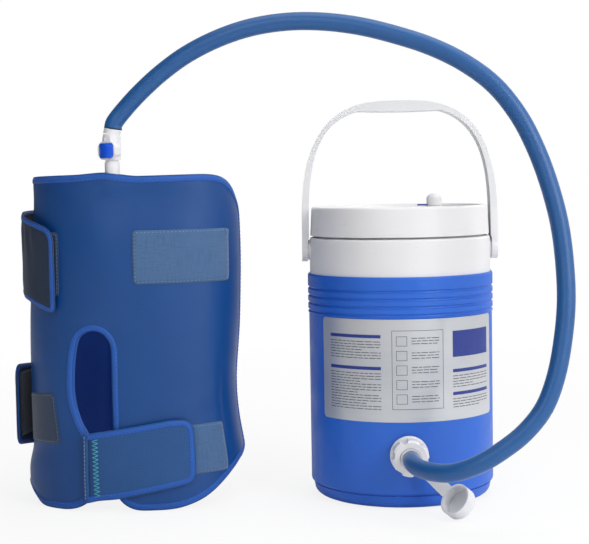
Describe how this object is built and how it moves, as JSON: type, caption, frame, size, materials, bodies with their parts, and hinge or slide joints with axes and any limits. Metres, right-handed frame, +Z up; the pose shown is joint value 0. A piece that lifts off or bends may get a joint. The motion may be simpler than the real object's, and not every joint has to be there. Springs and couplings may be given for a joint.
{
  "type": "hot cold therapy machine",
  "caption": "Gravity-fed hot and cold therapy set: insulated cooler jug with bail handle and screw lid, foam-sleeved hose with a thumb-latch coupler, and a strap-on knee wrap.",
  "frame": {"origin": "centre of the cooler's round base, on the surface that it stands on", "axes": "+Z up along the cooler's axis, -Y to the front with label and outlet, -X towards the knee wrap"},
  "size_m": [0.5057, 0.2802, 0.4487],
  "materials": {
    "blue_plastic": "smooth blue moulding with a soft gloss",
    "white_plastic": "white moulding with a soft gloss",
    "insulation": "light rigid foam, sealed inside",
    "label_foil": null,
    "seal_rubber": "dull grey rubber",
    "blue_rubber": "soft blue rubber",
    "hose_sleeve": "closed-cell foam sleeve with a satin skin",
    "button_blue": "bright blue moulding",
    "steel": "stamped spring steel",
    "wrap_nylon": "coated nylon with a satin sheen",
    "wrap_film": "welded film bladder, sealed inside",
    "wrap_lining": "dark blue brushed lining",
    "edge_binding": "folded royal-blue edge tape",
    "loop_fabric": "blue-grey loop pile",
    "hook_fabric": "grey hook tape",
    "strap_fabric": "navy coated strap fabric"
  },
  "bodies": {
    "cooler": {"outer_shell": "blue_plastic", "insulation_foam": "insulation", "inner_liner": "white_plastic", "collar": "white_plastic", "pivot_caps": "white_plastic", "label_plate": "label_foil", "outlet_body": "white_plastic", "outlet_gasket": "seal_rubber", "inner_gasket": "seal_rubber", "outlet_inner_nut": "white_plastic", "hose_ferrule": "white_plastic", "hose": "hose_sleeve", "coupler_seal": "seal_rubber", "wrap_stub": "white_plastic", "wrap_cover": "wrap_nylon", "wrap_bladder": "wrap_film", "wrap_lining": "wrap_lining", "wrap_binding": "edge_binding", "opening_binding": "edge_binding", "loop_patch_upper": "loop_fabric", "loop_patch_lower": "loop_fabric", "loop_patch_side_upper": "loop_fabric", "loop_patch_side_lower": "loop_fabric", "upper_strap": "strap_fabric", "lower_strap": "strap_fabric", "front_strap_seam": "strap_fabric"},
    "handle": {"handle": "white_plastic"},
    "lid_ring": {"lid_seal": "seal_rubber"},
    "lid": {"lid_shell": "white_plastic", "lid_foam": "insulation", "lid_liner": "white_plastic", "vent_seal": "blue_rubber"},
    "vent": {"vent_plug": "white_plastic"},
    "nut": {"outlet_nut": "white_plastic"},
    "cap": {"tether_cap": "white_plastic", "cap_seal": "seal_rubber"},
    "coupler": {"coupler_body": "white_plastic", "hose_barb": "white_plastic", "button_spring": "steel"},
    "button": {"coupler_button": "button_blue", "latch_plate": "steel"},
    "upper_tab": {"upper_strap_tab": "strap_fabric", "upper_tab_binding": "edge_binding", "upper_hook_patch": "hook_fabric"},
    "lower_tab": {"lower_strap_tab": "strap_fabric", "lower_tab_binding": "edge_binding", "lower_hook_patch": "hook_fabric"},
    "front_flap": {"front_strap": "strap_fabric", "front_strap_binding": "edge_binding", "front_hook_patch": "hook_fabric"}
  },
  "joints": [
    {"name": "handle_swing", "type": "hinge", "parent": "cooler", "child": "handle", "pos_m": [0, 0, 0.234], "axis": [1, 0, 0], "range_deg": [-120, 120]},
    {"name": "lid_lift", "type": "slide", "parent": "cooler", "child": "lid_ring", "axis": [0, 0, 1], "range_m": [0, 0.01]},
    {"name": "lid_twist", "type": "hinge", "parent": "lid_ring", "child": "lid", "pos_m": [0, 0, 0.25], "axis": [0, 0, 1], "range_deg": [0, 450]},
    {"name": "vent_pull", "type": "slide", "parent": "lid", "child": "vent", "axis": [0, 0, 1], "range_m": [0, 0.005]},
    {"name": "nut_turn", "type": "hinge", "parent": "cooler", "child": "nut", "pos_m": [0, -0.1, 0.051], "axis": [0, -1, 0], "range_deg": [0, 360]},
    {"name": "cap_swing", "type": "hinge", "parent": "cooler", "child": "cap", "pos_m": [0, -0.094, 0.051], "axis": [0, -1, 0], "range_deg": [0, 90]},
    {"name": "coupler_unplug", "type": "slide", "parent": "cooler", "child": "coupler", "axis": [0, 0, 1], "range_m": [0, 0.016], "deforming": ["hose"]},
    {"name": "button_press", "type": "slide", "parent": "coupler", "child": "button", "axis": [0.4226, 0.9063, 0], "range_m": [0, 0.0025], "stiffness_N_per_m": 600, "springref_m": -0.003, "deforming": ["button_spring"]},
    {"name": "upper_tab_peel", "type": "hinge", "parent": "cooler", "child": "upper_tab", "pos_m": [-0.3442, 0.049, 0.235], "axis": [0, 0, -1], "range_deg": [0, 75]},
    {"name": "lower_tab_peel", "type": "hinge", "parent": "cooler", "child": "lower_tab", "pos_m": [-0.3442, 0.049, 0.09], "axis": [0, 0, -1], "range_deg": [0, 75]},
    {"name": "front_strap_peel", "type": "hinge", "parent": "cooler", "child": "front_flap", "pos_m": [-0.2914, -0.0765, 0.045], "axis": [0, 0, -1], "range_deg": [0, 110]}
  ],
  "couplings": [
    {"joint": "lid_lift", "follows": "lid_twist", "m_per_rad": 0.0012732}
  ]
}
